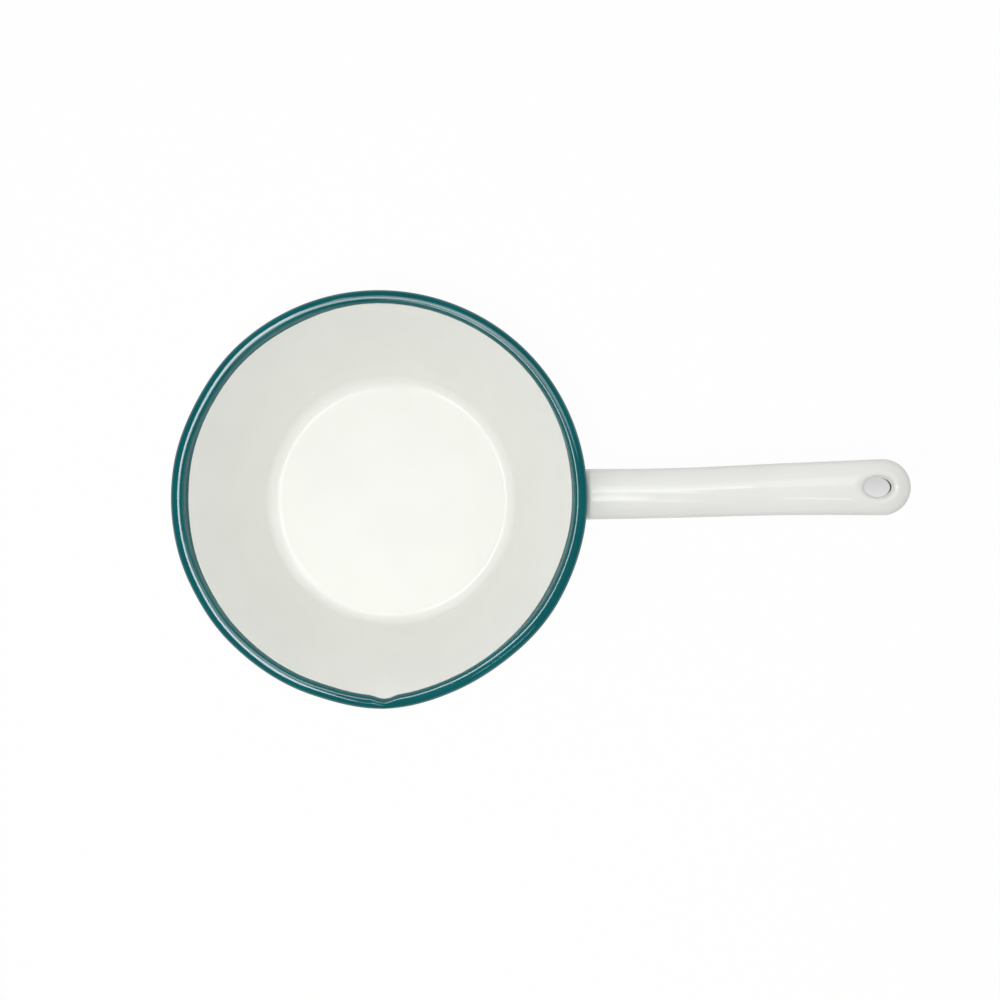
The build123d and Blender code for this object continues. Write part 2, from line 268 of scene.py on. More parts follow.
def glaze_group():
    """Fired enamel: slow changes of thickness, fine mottling, rare specks, a slow wave and orange peel."""
    tree, given, made = new_group(
        "fired_glaze",
        {"Color": ("Colour", "Thin Colour", "Speck Colour"), "Float": ("Roughness", "Wave Height", "Peel Height")},
        {"Color": ("Colour",), "Float": ("Roughness",), "Vector": ("Normal",)},
    )
    where = object_place(tree, (-1200, -300))
    slow = noise(tree, (-900, 300), where, 34.0, 2.0)
    fine = noise(tree, (-900, 100), where, 900.0, 2.0)
    wave = noise(tree, (-900, -200), where, 70.0, 1.0)
    peel = noise(tree, (-900, -400), where, 620.0, 1.5)
    cells = new_node(tree, "ShaderNodeTexVoronoi", (-900, -600), {"Vector": where, "Scale": 260.0}).outputs
    thin = ranged(tree, (-600, 300), slow, 0.42, 0.68, smooth=True)
    mottle = maths(tree, "MULTIPLY_ADD", (-600, 100), fine, 0.30, thin)
    thinned = mixed(tree, (-350, 200), mottle, given["Colour"], given["Thin Colour"])
    dot = ranged(tree, (-600, -600), cells["Distance"], 0.055, 0.030)
    chosen = maths(tree, "GREATER_THAN", (-600, -800), cells["Color"], 0.992)
    speck = maths(tree, "MULTIPLY", (-350, -600), dot, chosen)
    waves = maths(tree, "MULTIPLY", (-350, -200), wave, given["Wave Height"])
    relief = maths(tree, "MULTIPLY_ADD", (-100, -300), peel, given["Peel Height"], waves)
    bump = new_node(tree, "ShaderNodeBump", (200, -300), {"Distance": 1.0, "Strength": 1.0, "Height": relief})
    feed(tree, made, {
        "Colour": mixed(tree, (-100, 100), speck, thinned, given["Speck Colour"]),
        "Roughness": maths(tree, "MULTIPLY_ADD", (-100, -100), slow, 0.03, given["Roughness"]),
        "Normal": bump.outputs["Normal"],
    })
    return tree


def dip_group():
    """Second colour dipped over the first above a painted line: the mask is the height above the line,
    roughened by fine noise and divided by the softness of its edge."""
    tree, given, made = new_group(
        "rim_dip",
        {"Color": ("First Colour", "Second Colour"), "Float": ("Edge Softness",)},
        {"Color": ("Colour",)},
    )
    ragged = noise(tree, (-650, -300), object_place(tree, (-900, -300)), 420.0, 2.0)
    above = marked(tree, (-900, 300), "above_dip_line")
    rough = maths(tree, "MULTIPLY_ADD", (-400, -200), ragged, 0.0003, above)
    share = maths(tree, "DIVIDE", (-150, 0), rough, given["Edge Softness"])
    mask = new_node(tree, "ShaderNodeClamp", (0, 100), {"Value": share}).outputs[0]
    feed(tree, made, {"Colour": mixed(tree, (150, 0), mask, given["First Colour"], given["Second Colour"])})
    return tree


white = (0.785, 0.793, 0.758, 1)
thin_white = (0.766, 0.774, 0.737, 1)
# Painted light: the bowl's two whites are the handle's white enamel painted lighter, so the bowl's inside shows
# brighter than the lamps make it
bowl_white_painted_lighter = (0.855, 0.862, 0.823, 1)
thin_bowl_white_painted_lighter = (0.84, 0.847, 0.808, 1)
teal = (0.0022, 0.094, 0.104, 1)
thin_teal = (0.0030, 0.112, 0.122, 1)
speck_brown = (0.10, 0.085, 0.06, 1)
white_index = 1.27
teal_index = 1.53
skin_roughness = 0.045
wave_height = 4e-5
peel_height = 1.2e-6
dip_softness = 0.00012
glaze = glaze_group()
dip = dip_group()


def fired_enamel(name, colour, thin_colour, index):
    """Glossy enamel on steel: the fired glaze over the piece's own colour, under a smooth glassy skin.
    Returns the material, its glaze and its skin."""
    material = bpy.data.materials.new(name)
    material.use_nodes = True
    skin = material.node_tree.nodes["Principled BSDF"]
    coat = new_node(material.node_tree, "ShaderNodeGroup", (-300, 0), {
        "Colour": colour,
        "Thin Colour": thin_colour,
        "Speck Colour": speck_brown,
        "Roughness": skin_roughness,
        "Wave Height": wave_height,
        "Peel Height": peel_height,
    }, node_tree=glaze)
    feed(material.node_tree, skin, {
        "IOR": index,
        "Base Color": coat.outputs["Colour"],
        "Roughness": coat.outputs["Roughness"],
        "Normal": coat.outputs["Normal"],
    })
    return material, coat, skin


def dipped_enamel(name, colour, thin_colour, index, other, dipped_over):
    """Enamel that meets the other colour at the painted line round the rim."""
    material, coat, skin = fired_enamel(name, colour, thin_colour, index)
    near, far = ("Second Colour", "First Colour") if dipped_over else ("First Colour", "Second Colour")
    fed = {near: coat.outputs["Colour"], far: other, "Edge Softness": dip_softness}
    paint = new_node(material.node_tree, "ShaderNodeGroup", (-50, 200), fed, node_tree=dip)
    feed(material.node_tree, skin, {"Base Color": paint.outputs["Colour"]})
    return material, coat, skin


# The painted line inside the rim wanders: its rise every 30 degrees, clockwise from the handle, in metres
dip_start = np.radians(-1)
dip_pitch = np.radians(30)
dip_rises = np.array([-1.0, -1.9, 0.7, 0.7, 0.2, -0.6, -2.0, -0.6, -1.0, 1.0, 0.7, 0.4]) * 1e-3
dip_middles = dip_start - dip_pitch * np.arange(len(dip_rises))


def above_dip_line(points):
    """Height above the painted line, which wanders inside the wall and lies under the curl outside."""
    azimuth = np.arctan2(points[:, 1], points[:, 0])
    line = lip_top + (dip_rises * swell(turn_from(azimuth[:, None], dip_middles), dip_pitch)).sum(-1)
    outside = np.hypot(points[:, 0], points[:, 1]) - wall_radius(points[:, 2], sheet / 2)
    outside -= lip_reach(azimuth, points[:, 2]) + unevenness(azimuth, points[:, 2])
    behind = outside > 0
    return points[:, 2] - np.where(behind, pan_height - 2 * bead_radius - rim_skirt, line)


scour_roughness = 0.42
scour_fade = 0.0015
scour_top = 0.004
scour_corner_share = 0.62


def scoured(points):
    """One on the inside floor, where spoons and cleaning have dulled the gloss, fading out at its edge."""
    radius = np.hypot(points[:, 0], points[:, 1])
    inner = (points[:, 2] > sheet * 0.9) & (points[:, 2] < scour_top)
    edge = floor_radius - inside_corner_radius * scour_corner_share
    return inner * np.clip((edge - radius) / scour_fade, 0, 1)


floor_level = sheet + dish_rise
ring_radius = floor_radius - ring_width
inside_corners = (
    (0, floor_level),
    (ring_radius - inner_slope, floor_level),
    (ring_radius, sheet),
    (floor_radius, sheet),
    (wall_radius(lip_top), lip_top),
)
outside_corners = (
    (0, dish_rise),
    (ring_radius - dish_slope, dish_rise),
    (ring_radius, 0),
    (wall_radius(0, sheet), 0),
    (wall_radius(lip_top, sheet), lip_top),
)
inside = rounded_path(inside_corners, (inner_blend, inner_blend, inside_corner_radius), wall_step)
outside = rounded_path(outside_corners, (dish_blend, dish_blend + sheet, corner_radius + sheet), wall_step)
profile = np.concatenate([inside, outside[::-1]])
azimuths = around()
heights = profile[:, 1, None]
radii = profile[:, 0, None] + lip_reach(azimuths, heights) + unevenness(azimuths, heights)
radii = np.where(profile[:, 0, None] > 0, radii, 0)
bowl = piece_from("enamelled_bowl", [turned(radii, heights, azimuths)])
mark(bowl, "above_dip_line", above_dip_line)
mark(bowl, "scoured", scoured)
# The bowl takes the lighter copy of the white enamel, which is painted light
bowl_enamel, bowl_coat, bowl_skin = dipped_enamel(
    "white_enamel_bowl", bowl_white_painted_lighter, thin_bowl_white_painted_lighter, white_index, teal, False,
)
worn = marked(bowl_enamel.node_tree, (-600, -300), "scoured")
dulled = maths(
    bowl_enamel.node_tree, "MULTIPLY_ADD", (-300, -300), worn, scour_roughness, bowl_coat.outputs["Roughness"],
)
feed(bowl_enamel.node_tree, bowl_skin, {"Roughness": dulled})
bowl.data.materials.append(bowl_enamel)
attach(bowl, "root")
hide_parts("bowl")

# The rolled rim. The top of the same sheet is curled outwards into a hollow bead, squeezed narrower at
# the pouring lip, and the finished edge is dipped a second time, in deep teal enamel.
curl_gap = 0.00035
lip_pinch = 0.00015
crease_pinch = 0.0009
outer_curl_points = 81
inner_curl_points = 31
skirt_points = 4

# The rolling dies press the crown of the curl in twice: share of the radius, angle and half width in degrees
crown_presses = ((0.10, 75, 60), (0.03, 103, 30))

lip_turn = turn_from(azimuths, lip_azimuth)
bead = bead_radius - lip_pinch * swell(lip_turn, lip_half_angle) - crease_pinch * swell(lip_turn, crease_half_angle)
bore = bead - sheet
tilt = np.arctan(lip_slope(azimuths))
foot = wall_radius(lip_top) + lip_reach(azimuths, lip_top) + unevenness(azimuths, lip_top)
bead_height = pan_height - bead
bead_middle = foot + (bead_height - lip_top) * np.tan(tilt) + bead / np.cos(tilt)
curl_start = np.pi - tilt
curl_sweep = 2 * np.pi - np.arccos((bore - curl_gap) / bead)


def curl_arc(radius, shares, presses=()):
    """Arc of the curl: from where the wall touches it, over the top and round to the curl's end. Each press
    takes a share off the radius, as a raised cosine round its angle."""
    angle = curl_start - curl_sweep * shares[:, None]
    for share, middle, half in presses:
        radius = radius * (1 - share * swell(angle - np.radians(middle), np.radians(half)))
    return turned(bead_middle + radius * np.cos(angle), bead_height + radius * np.sin(angle), azimuths)


outer_arc = curl_arc(bead, np.linspace(0, 1, outer_curl_points), crown_presses)
inner_arc = curl_arc(bore, np.linspace(1, 0, inner_curl_points))
front_foot = turned(foot, lip_top, azimuths)
back_foot = turned(foot + sheet / np.cos(tilt), lip_top, azimuths)
skirt_shares = np.linspace(0, 1, skirt_points)[:-1, None, None]
front_skirt = front_foot + (outer_arc[0] - front_foot) * skirt_shares
back_skirt = back_foot + (inner_arc[-1] - back_foot) * skirt_shares[::-1]
rim = piece_from("rolled_teal_rim", [
    np.concatenate([front_skirt, outer_arc, inner_arc, back_skirt, front_foot[None]]),
])
mark(rim, "above_dip_line", above_dip_line)
rim_enamel, _, _ = dipped_enamel("teal_enamel_rim", teal, thin_teal, teal_index, white, True)
rim.data.materials.append(rim_enamel)
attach(rim, "root")
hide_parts("rolled_rim")

# The saddle plate. A small rounded steel plate is bent to the wall under the rim and welded on, to spread
# the handle's load. White enamel runs over it and softens its edge.
root_angle = np.radians(8.5)
root_width = 0.0202
root_depth = 0.0146
root_leg = 0.0022
seam_proud = 0.00015
plate_thickness = 0.001
plate_gap = 0.0011
plate_top = pan_height - 2 * bead_radius - plate_gap
plate_top_lap = 0.0007
plate_bottom_lap = 0.0035
plate_edge = 0.003
plate_roundness = 0.42
plate_points_round = 145
spot_diameter = 0.004
spot_gap = 0.0024
spot_proud = 0.00035

root_cut = root_depth / np.cos(root_angle + lean)
weld_toe = root_leg + seam_proud
weld_height = (root_cut + 2 * weld_toe) * np.cos(lean)
root_height = plate_top - plate_top_lap - weld_height / 2
plate_length = weld_height + plate_top_lap + plate_bottom_lap
plate_middle = plate_top - plate_length / 2
spot_spread = root_width + 2 * weld_toe + 2 * spot_gap + spot_diameter
plate_width = spot_spread + spot_diameter + 2 * plate_edge
spot_pitch = plate_length - spot_diameter - 2 * plate_edge


def on_wall(across, up, depth):
    """Points behind the wall's inner face: across is measured level along Y, up is the height."""
    radius = wall_radius(up, depth)
    return np.stack([np.sqrt(radius ** 2 - across ** 2), across, up], -1)


def rounded_square(turn, corner_share):
    """Outline of a square with rounded corners: a superellipse whose power falls as corners grow."""
    power = 2 / corner_share
    reach = (np.abs(np.cos(turn)) ** power + np.abs(np.sin(turn)) ** power) ** (-1 / power)
    return reach * np.cos(turn), reach * np.sin(turn)


plate_turn = np.linspace(0, 2 * np.pi, plate_points_round)
plate_across, plate_up = rounded_square(plate_turn, plate_roundness)

# Rings from the middle of the plate's top, over its soft edge and back below: share of its size, and its drop
shrink = np.array([1e-6, 0.25, 0.5, 0.72, 0.86, 0.94, 0.972, 0.988, 0.996, 1, 1, 0.9, 0.5, 1e-6])
sag = np.array([0, 0, 0, 0, 0, 0, 0.08, 0.22, 0.45, 0.8, 1.0, 1.0, 1.0, 1.0])
plate_points = on_wall(
    plate_width / 2 * shrink[:, None] * plate_across,
    plate_middle + plate_length / 2 * shrink[:, None] * plate_up,
    sheet + plate_thickness * (1 - sag[:, None]),
)
plate = piece_from("enamelled_saddle_plate", [plate_points])
white_enamel, _, _ = fired_enamel("white_enamel", white, thin_white, white_index)
plate.data.materials.append(white_enamel)
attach(plate, "root")
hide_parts("saddle_plate")

# The spot welds. Four small buttons join the plate to the wall, and the enamel rounds them over.
# The rings of one button run from its middle out and back below: share of its radius, and its rise.
spot_points = 49
spot_turn = np.linspace(0, 2 * np.pi, spot_points)
spot_shares = np.array([1e-6, 0.35, 0.6, 0.8, 0.92, 1, 1, 1e-6])
spot_rises = np.array([1, 0.96, 0.85, 0.6, 0.3, 0, -0.7, -0.7])
spots = []
for side in (-spot_spread / 2, spot_spread / 2):
    for level in (-spot_pitch / 2, spot_pitch / 2):
        ring = spot_diameter / 2 * spot_shares[:, None]
        spots.append(on_wall(
            side + ring * np.cos(spot_turn),
            plate_middle + level + ring * np.sin(spot_turn),
            sheet + plate_thickness + spot_proud * spot_rises[:, None],
        ))
spot_welds = piece_from("enamelled_spot_welds", spots)
spot_welds.data.materials.append(white_enamel)
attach(spot_welds, "root")
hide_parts("saddle_spot_welds")

# The handle. Two pressed half shells make a hollow handle that swells at both ends and rises gently to
# its round end, where both shells are dimpled together round the hanging eye. White enamel covers all.
overall_length = 0.2802
handle_sheet = 0.0012
end_rise = 0.028
end_angle = np.radians(4)
waist_width = 0.0191
end_width = 0.0209
end_depth = 0.0108
side_round_share = 0.72
bend_share = 0.33
seam_height = 0.0008
side_bow = 0.00046
bow_middle = 0.38
side_drift = 0.0002
eye_length = 0.0099
eye_width = 0.0072
eye_setback = 0.0018
eye_flare = 0.0021
eye_softness = 0.0016

root_point = np.array([wall_radius(root_height, sheet + plate_thickness), root_height])
root_aim = np.array([np.cos(root_angle), np.sin(root_angle)])
end_aim = np.array([np.cos(end_angle), np.sin(end_angle)])
end_tip = overall_length - rim_radius
end_point = np.array([end_tip - end_width / 2 * end_aim[0], root_height + end_rise])
start_point = root_point - root_aim * root_depth / 2
bend_arm = bend_share * np.linalg.norm(end_point - start_point)
bend_points = (start_point, start_point + root_aim * bend_arm, end_point - end_aim * bend_arm, end_point)


def bend_place(share):
    """Point of the handle's middle line, a cubic Bezier curve in the XZ plane."""
    weights = ((1 - share) ** 3, 3 * share * (1 - share) ** 2, 3 * share ** 2 * (1 - share), share ** 3)
    return sum(weight[..., None] * point for weight, point in zip(weights, bend_points))


bend_samples = 2001
nudge = 1e-4
bend_shares = np.linspace(0, 1, bend_samples)
bend_steps = np.linalg.norm(np.diff(bend_place(bend_shares), axis=0), axis=1)
bend_lengths = np.concatenate([[0], np.cumsum(bend_steps)])
handle_length = bend_lengths[-1]


def in_handle(along, across, up):
    """Points given along, across and above the handle's middle line, which runs straight past its end and
    bows a hair sideways, as the raised cosine of its length plus a drift that grows with its square."""
    share = np.interp(along, bend_lengths, bend_shares)
    point = bend_place(share) + np.maximum(along - handle_length, 0)[..., None] * end_aim
    onward = np.minimum(share + nudge, 1)
    ahead = bend_place(onward) - bend_place(onward - 2 * nudge)
    ahead /= np.linalg.norm(ahead, axis=-1, keepdims=True)
    x = point[..., 0] - ahead[..., 1] * up
    z = point[..., 1] + ahead[..., 0] * up
    run = np.clip(along / handle_length, 0, 1)
    aside = side_bow * swell(run - bow_middle, bow_middle) + side_drift * run ** 2
    return np.stack(np.broadcast_arrays(x, across - aside, z), -1)


def oval_at(along):
    """Side radius, crown radius, their centres and the angle where they meet, at a place along."""
    share = np.clip(along / handle_length, 0, 1)
    width = root_width * (1 - share) * (1 - 2 * share) + waist_width * 4 * share * (1 - share)
    width = width + end_width * share * (2 * share - 1)
    depth = root_depth + (end_depth - root_depth) * share ** 2 * (3 - 2 * share)
    side = side_round_share * depth / 2
    reach = width / 2 - side
    rest = depth / 2 - side
    drop = (reach ** 2 - rest ** 2) / (2 * rest)
    return side, depth / 2 + drop, reach, drop, np.arctan2(drop, reach)


side_share = 0.22


def oval_point(along, share, inset, level):
    """Across and up on the upper half of the oval. The share runs from one seam over the crown to the
    other: the outer parts turn on the side radius and the middle part on the crown radius."""
    side, crown, reach, drop, meet = oval_at(along)
    side, crown = side - inset, crown - inset
    low = np.arcsin(level / side)
    near = np.minimum(share, 1 - share)
    on_side = low + (meet - low) * near / side_share
    on_crown = meet + (np.pi / 2 - meet) * (near - side_share) / (0.5 - side_share)
    flank = near < side_share
    across = np.where(flank, reach + side * np.cos(on_side), crown * np.cos(on_crown))
    up = np.where(flank, side * np.sin(on_side), crown * np.sin(on_crown) - drop)
    return np.where(share < 0.5, across, -across), up


def crown_height(along, across, inset):
    """Height of the upper half shell over a point in plan, its round end turned about the end's middle."""
    side, crown, reach, drop, meet = oval_at(along)
    side, crown = side - inset, crown - inset
    out = np.hypot(np.maximum(along - handle_length, 0), across)
    flat = np.sqrt(np.maximum(crown ** 2 - out ** 2, 0)) - drop
    round_side = np.sqrt(np.maximum(side ** 2 - (out - reach) ** 2, 0))
    return np.where(out < reach + side * np.cos(meet), flat, round_side)


eye_middle = handle_length - eye_setback
eye_halvings = 34


def eye_spread(along, across, inset):
    """How far a point lies outside the eye's oval: the growth of both half axes that reaches it."""
    low = np.full(np.shape(along), -eye_width / 2)
    high = np.full(np.shape(along), end_width * 3)
    for _ in range(eye_halvings):
        middle = (low + high) / 2
        lengthwise = (along - eye_middle) / np.maximum(eye_length / 2 + inset + middle, 1e-6)
        sideways = across / np.maximum(eye_width / 2 + inset + middle, 1e-6)
        short = lengthwise ** 2 + sideways ** 2 > 1
        low, high = np.where(short, middle, low), np.where(short, high, middle)
    return (low + high) / 2


def dimpled_height(along, across, inset):
    """The lower of the crown and of the eye's trumpet, whose height grows with the cube root of the
    spread, with the edge between them rounded over the softness."""
    crown = crown_height(along, across, inset)
    spread = np.maximum(eye_spread(along, across, inset), 0)
    trumpet = end_depth / 2 * np.cbrt(spread / eye_flare)
    overlap = np.maximum(eye_softness - np.abs(crown - trumpet), 0) / eye_softness
    return np.minimum(crown, trumpet) - overlap ** 2 * eye_softness / 4


# How finely the half shells are drawn: over the crown, along the shank, and round and out from the eye
over_points = 61
shank_points = 121
side_points = 17
turn_points = 65
ray_points = 49
ray_crowding = 1.4

eye_zone = 0.016
plate_halvings = 32
search_start = -0.004
shank_end = handle_length - eye_zone
over_shares = np.linspace(0, 1, over_points)
shell_level = seam_height / 2


def leave_plate(shares, inset, level, flip):
    """Where each line along the handle leaves the saddle plate, found by halving the length in doubt."""
    low, high = np.full(len(shares), search_start), np.full(len(shares), handle_length / 4)
    for _ in range(plate_halvings):
        middle = (low + high) / 2
        across, up = oval_point(middle, shares, inset, level)
        points = in_handle(middle, across, flip * up)
        inner = np.hypot(points[:, 0], points[:, 1]) < wall_radius(points[:, 2], sheet + plate_thickness)
        low, high = np.where(inner, middle, low), np.where(inner, high, middle)
    return high


def shank_grid(inset, flip):
    """The half shell from the plate to short of the eye, in lines from the plate to the shank's end."""
    start = leave_plate(over_shares, inset, shell_level, flip)
    along = start + (shank_end - start) * np.linspace(0, 1, shank_points)[:, None]
    across, up = oval_point(along, over_shares[None], inset, shell_level)
    return in_handle(along, across, flip * up)


def end_grid(inset, flip):
    """The dimpled round end: rays from the eye's throat out to the shank's last line and to the seam.
    Their points crowd at both ends, where the trumpet and the rounded side are steepest."""
    across, up = oval_point(np.full(over_points, shank_end), over_shares, inset, shell_level)
    straight = np.linspace(shank_end, handle_length, side_points)
    edge_across, _ = oval_point(straight, np.zeros(side_points), inset, shell_level)
    turn = np.linspace(-np.pi / 2, np.pi / 2, turn_points)[1:]
    rim_along = np.concatenate([
        np.full(over_points, shank_end),
        straight[1:],
        handle_length + edge_across[-1] * np.cos(turn),
        straight[::-1][1:],
    ])
    rim_across = np.concatenate([across, -edge_across[1:], edge_across[-1] * np.sin(turn), edge_across[::-1][1:]])
    rim_up = np.concatenate([up, np.full(len(rim_along) - len(up), shell_level)])
    ray = np.arctan2(rim_across, rim_along - eye_middle)
    long_half, short_half = eye_length / 2 + inset, eye_width / 2 + inset
    throat = 1 / np.hypot(np.cos(ray) / long_half, np.sin(ray) / short_half)
    throat_along, throat_across = eye_middle + throat * np.cos(ray), throat * np.sin(ray)
    share = np.sin(np.pi / 2 * np.linspace(0, 1, ray_points)[:, None] ** ray_crowding) ** 2
    along = throat_along + (rim_along - throat_along) * share
    across = throat_across + (rim_across - throat_across) * share
    up = np.maximum(dimpled_height(along, across, inset), shell_level)
    up = np.where(share == 0, shell_level, np.where(share == 1, rim_up, up))
    return in_handle(along, across, flip * up)


def half_shell(name, flip):
    """One pressed half: outer and inner skins, joined at the plate, along the seam and round the throat."""
    outer, inner = shank_grid(0, flip), shank_grid(handle_sheet, flip)
    loop = np.concatenate([outer, inner[:, ::-1], outer[:, :1]], 1)
    end_outer, end_inner = end_grid(0, flip), end_grid(handle_sheet, flip)
    seam_from = over_points - 1
    shell = piece_from(name, [
        loop,
        np.stack([outer[0], inner[0]]),
        end_outer,
        end_inner,
        np.stack([end_outer[-1, seam_from:], end_inner[-1, seam_from:]]),
        np.stack([end_outer[0], end_inner[0]]),
    ])
    mark(shell, "slit_shade", slit_shade)
    shell.data.materials.append(handle_enamel)
    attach(shell, "root")
    return shell


eye_point = in_handle(np.array(eye_middle), 0, 0)
slit_middle = np.radians(12)
slit_half_angle = np.radians(48)
slit_shade_half_angle = np.radians(68)
slit_shade_side_power = 0.35
slit_shade_height_power = 0.45
slit_shade_drop = 0.0003
slit_shade_height = 0.0022
slit_shade_strength = 1.6
slit_shade_reach = 0.095


def slit_shade(points):
    """Painted shade: one at the slit on the tip side of the eye, where one sees into the dark hollow handle, falling
    to nothing round it and down the throat.
    """
    offset = points - eye_point
    along = offset[:, 0] * end_aim[0] + offset[:, 2] * end_aim[1]
    up = offset[:, 2] * end_aim[0] - offset[:, 0] * end_aim[1]
    turn = np.arctan2(offset[:, 1] / eye_width, along / eye_length)
    beside = swell(turn_from(turn, slit_middle), slit_shade_half_angle) ** slit_shade_side_power
    height = swell(up + slit_shade_drop, slit_shade_height) ** slit_shade_height_power
    spread = np.hypot(along / eye_length, offset[:, 1] / eye_width) * 2 - 1
    return beside * height * np.clip(slit_shade_strength - np.abs(spread) / slit_shade_reach, 0, 1)


def slit_shade_group():
    """Painted shade at the slit into the dark hollow handle: a ragged black mask from the mark, rougher where it
    lies, with flecks left white.
    """
    tree, given, made = new_group(
        "slit_shaded_edge",
        {"Color": ("Enamel Colour", "Slit Shade Colour"), "Float": ("Enamel Roughness",)},
        {"Color": ("Colour",), "Float": ("Roughness",)},
    )
    ragged = noise(tree, (-650, -300), object_place(tree, (-900, -300)), 1500.0, 3.0)
    near = marked(tree, (-900, 300), "slit_shade")
    eaten = maths(tree, "MULTIPLY_ADD", (-400, 100), ragged, -0.75, near)
    mask = ranged(tree, (-150, 100), eaten, 0.0, 0.12)
    feed(tree, made, {
        "Colour": mixed(tree, (100, 100), mask, given["Enamel Colour"], given["Slit Shade Colour"]),
        "Roughness": maths(tree, "MULTIPLY_ADD", (100, -100), mask, 0.5, given["Enamel Roughness"]),
    })
    return tree


# Near-black painted shade for the slit by the eye, standing in for the dark inside of the hollow handle
slit_shaded_black = (0.006, 0.005, 0.005, 1)
slit_shaded_edge = slit_shade_group()
handle_enamel, handle_coat, handle_skin = fired_enamel("white_enamel_handle", white, thin_white, white_index)
slit_shaded = new_node(handle_enamel.node_tree, "ShaderNodeGroup", (-50, 200), {
    "Enamel Colour": handle_coat.outputs["Colour"],
    "Slit Shade Colour": slit_shaded_black,
    "Enamel Roughness": handle_coat.outputs["Roughness"],
}, node_tree=slit_shaded_edge)
feed(handle_enamel.node_tree, handle_skin, {
    "Base Color": slit_shaded.outputs["Colour"],
    "Roughness": slit_shaded.outputs["Roughness"],
})

upper_shell = half_shell("enamelled_upper_shell", 1)
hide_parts("handle_upper_shell")
lower_shell = half_shell("enamelled_lower_shell", -1)
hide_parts("handle_lower_shell")

# The handle's welds. One runs along both sides and round the tip and joins the two shells, and a short
# one joins the dimples round the eye and stops on the tip side, where it leaves an open slit into the hollow handle.
seam_lap = 0.00015
seam_points = 161
tip_points = 97
seam_tuck = 0.2
section_points = 13
eye_weld_turns = 97
eye_weld_proud = 0.00005


def bar_section(thickness, proud, lap):
    """Out and up round a weld's cross-section: a flat inner face and a softly bulging outer one."""
    turn = np.linspace(-np.pi / 2, np.pi / 2, section_points)
    out = np.concatenate([[-thickness], proud * np.cos(turn) - lap * seam_tuck, [-thickness, -thickness]])
    up = np.concatenate([[-shell_level], (shell_level + lap) * np.sin(turn), [shell_level, -shell_level]])
    return out, up


seam_start = leave_plate(np.zeros(1), 0, 0, 1)[0]
seam_straight = np.linspace(seam_start, handle_length, seam_points)
seam_across, _ = oval_point(seam_straight, np.zeros(seam_points), 0, 0)
seam_turn = np.linspace(np.pi / 2, -np.pi / 2, tip_points)[1:-1]
seam_along = np.concatenate([seam_straight, handle_length + seam_across[-1] * np.cos(seam_turn), seam_straight[::-1]])
seam_side = np.concatenate([seam_across, seam_across[-1] * np.sin(seam_turn), -seam_across[::-1]])
seam_out_along = np.concatenate([np.zeros(seam_points), np.cos(seam_turn), np.zeros(seam_points)])
seam_out_side = np.concatenate([np.ones(seam_points), np.sin(seam_turn), -np.ones(seam_points)])
section_out, section_up = bar_section(handle_sheet, seam_proud, seam_lap)
closing = np.ones(len(seam_along) + 2)
closing[[0, -1]] = 0
spread_out = np.concatenate([[0], np.arange(len(seam_along)), [len(seam_along) - 1]])
seam_grid = in_handle(
    seam_along[spread_out, None] + seam_out_along[spread_out, None] * section_out * closing[:, None],
    seam_side[spread_out, None] + seam_out_side[spread_out, None] * section_out * closing[:, None],
    section_up * closing[:, None],
)
seam_weld = piece_from("enamelled_seam_weld", [seam_grid])
seam_weld.data.materials.append(white_enamel)
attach(seam_weld, "root")
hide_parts("handle_seam_weld")

ring_turn = slit_middle + np.linspace(slit_half_angle, 2 * np.pi - slit_half_angle, eye_weld_turns)
ring_turn = np.concatenate([ring_turn[:1], ring_turn, ring_turn[-1:]])[:, None]
closing = np.ones(ring_turn.shape)
closing[[0, -1]] = 0
ring_out, ring_up = bar_section(handle_sheet, 0, seam_lap)
ring_points = in_handle(
    eye_middle + (eye_length / 2 + eye_weld_proud - ring_out * closing) * np.cos(ring_turn),
    (eye_width / 2 + eye_weld_proud - ring_out * closing) * np.sin(ring_turn),
    ring_up * closing,
)
ring_weld = piece_from("enamelled_eye_weld", [ring_points])
mark(ring_weld, "slit_shade", slit_shade)
ring_weld.data.materials.append(handle_enamel)
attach(ring_weld, "root")
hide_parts("eye_weld")

# The root weld. A fillet of weld runs right round the handle's root and joins it to the saddle plate, and
# the enamel fills its toes, so that it reads as one soft hollow.
root_points = 73
fillet_points = 15
root_shares = np.linspace(0, 1, root_points)
weld_bite = 0.0004


def root_ring(inset, ahead):
    """Points once round the handle, a length ahead of where its surface leaves the saddle plate."""
    rings = []
    for flip, shares in ((1, root_shares[:-1]), (-1, root_shares[::-1])):
        along = leave_plate(shares, 0, 0, flip) + ahead
        across, up = oval_point(along, shares, inset, 0)
        rings.append(in_handle(along, across, flip * up))
    return np.concatenate(rings)


junction = root_ring(0, 0)
handle_toe = root_ring(0, weld_toe)
away = junction - root_ring(handle_sheet, 0)
away /= np.linalg.norm(away[:, 1:], axis=1, keepdims=True)
plate_toe = junction + away * weld_toe
plate_toe = on_wall(plate_toe[:, 1], plate_toe[:, 2], sheet + plate_thickness)
plate_bite = on_wall(plate_toe[:, 1], plate_toe[:, 2], sheet + plate_thickness - weld_bite)
curve = np.linspace(0, 1, fillet_points)[:, None, None]
fillet = (1 - curve) ** 2 * plate_toe + 2 * curve * (1 - curve) * junction + curve ** 2 * handle_toe
root_weld = piece_from("enamelled_root_weld", [
    np.concatenate([fillet, [root_ring(weld_bite, weld_toe), root_ring(weld_bite, 0), plate_bite, plate_toe]]),
])
root_weld.data.materials.append(white_enamel)
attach(root_weld, "root")
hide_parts("handle_root_weld")

